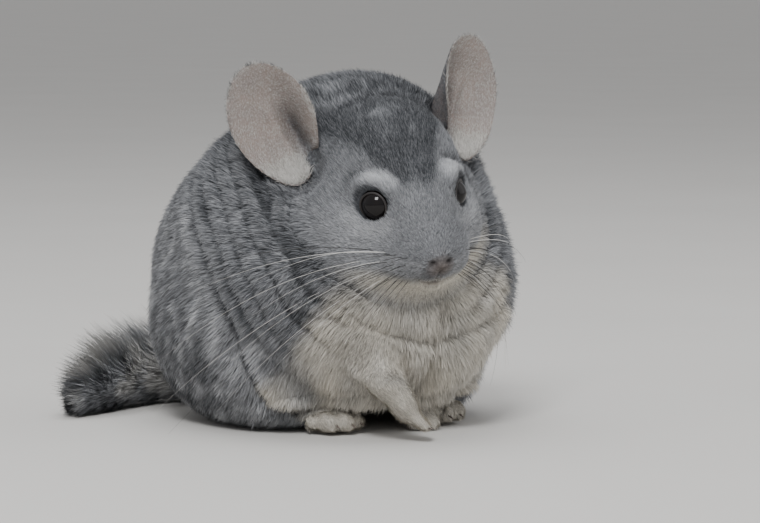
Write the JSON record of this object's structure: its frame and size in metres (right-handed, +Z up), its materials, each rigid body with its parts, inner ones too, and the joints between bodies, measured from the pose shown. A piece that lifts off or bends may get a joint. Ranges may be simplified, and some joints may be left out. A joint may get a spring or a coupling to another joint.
{
  "type": "chinchilla",
  "caption": "Life-size still model of a crouched chinchilla: round furred body, large cupped ears, dark eyes, small paws and a bushy tail curled to its right.",
  "frame": {"origin": "on the floor, under the middle of the bounding box", "axes": "+Z up; the animal looks along -Y and its left side is towards +X"},
  "size_m": [0.1786, 0.2066, 0.1662],
  "materials": {
    "back_coat": "dense soft fur, slate grey ticked with silver",
    "pale_coat": "short soft fur, pale cream grey",
    "ear_skin": "thin matt skin, finely haired",
    "eye": "glossy black",
    "tail_hair": "long coarse hair, dark below and streaked above"
  },
  "bodies": {
    "root": {"torso": "back_coat", "neck": "back_coat", "head": "back_coat", "haunch_left": "back_coat", "haunch_right": "back_coat", "ear_left": "ear_skin", "ear_right": "ear_skin", "eye_left": "eye", "eye_right": "eye", "hind_foot_left": "pale_coat", "hind_foot_right": "pale_coat", "forepaw_left": "pale_coat", "forepaw_right": "pale_coat", "tail": "tail_hair"}
  },
  "joints": []
}
